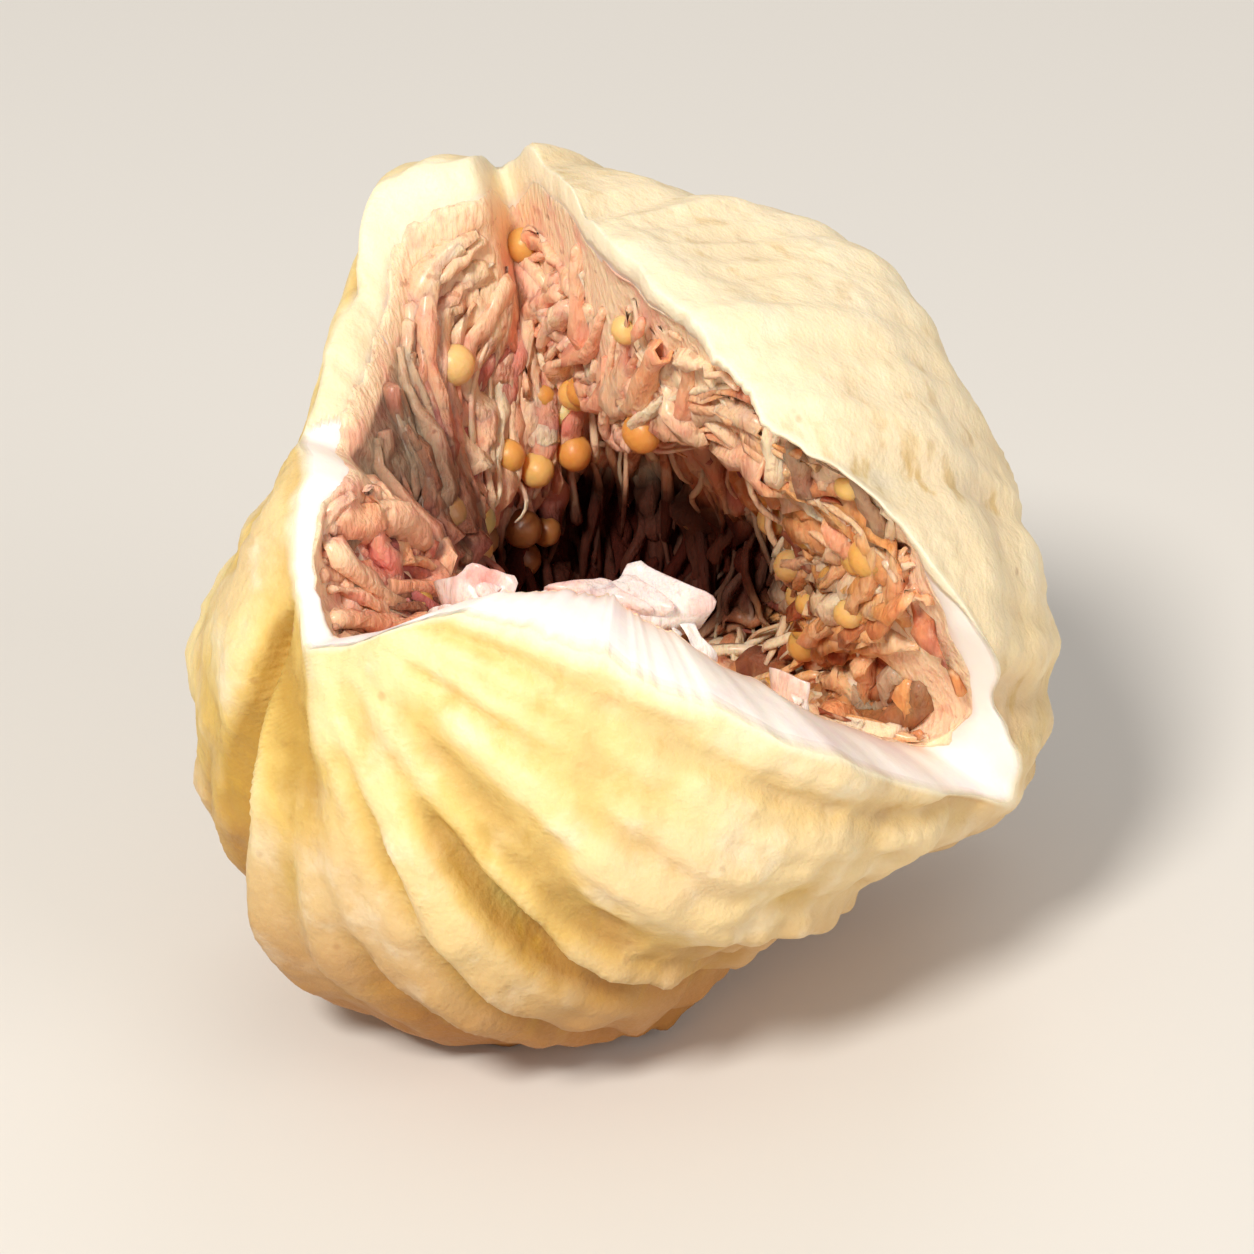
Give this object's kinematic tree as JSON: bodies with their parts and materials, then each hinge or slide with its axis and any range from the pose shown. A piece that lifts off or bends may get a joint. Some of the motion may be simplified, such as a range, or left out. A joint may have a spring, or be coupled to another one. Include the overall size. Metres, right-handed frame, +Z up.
{
  "type": "dried fig",
  "caption": "Dried fig that has split open along one side, with ribbed yellow skin, a pale flesh rim and a hollow lined with fibrous pulp and seeds.",
  "frame": {"origin": "middle of the box round the footprint, on the surface that the fig lies on", "axes": "+Z up, -Y towards the viewer who looks at the open side, +X to the right along the longest side"},
  "size_m": [0.0284, 0.0278, 0.0268],
  "materials": {
    "skin": "dried fruit skin, satin, with soft ribs",
    "pulp": "dried pulp, slightly sticky, with glossy seeds"
  },
  "bodies": {
    "root": {"rind": "skin", "pulp": "pulp"}
  },
  "joints": []
}
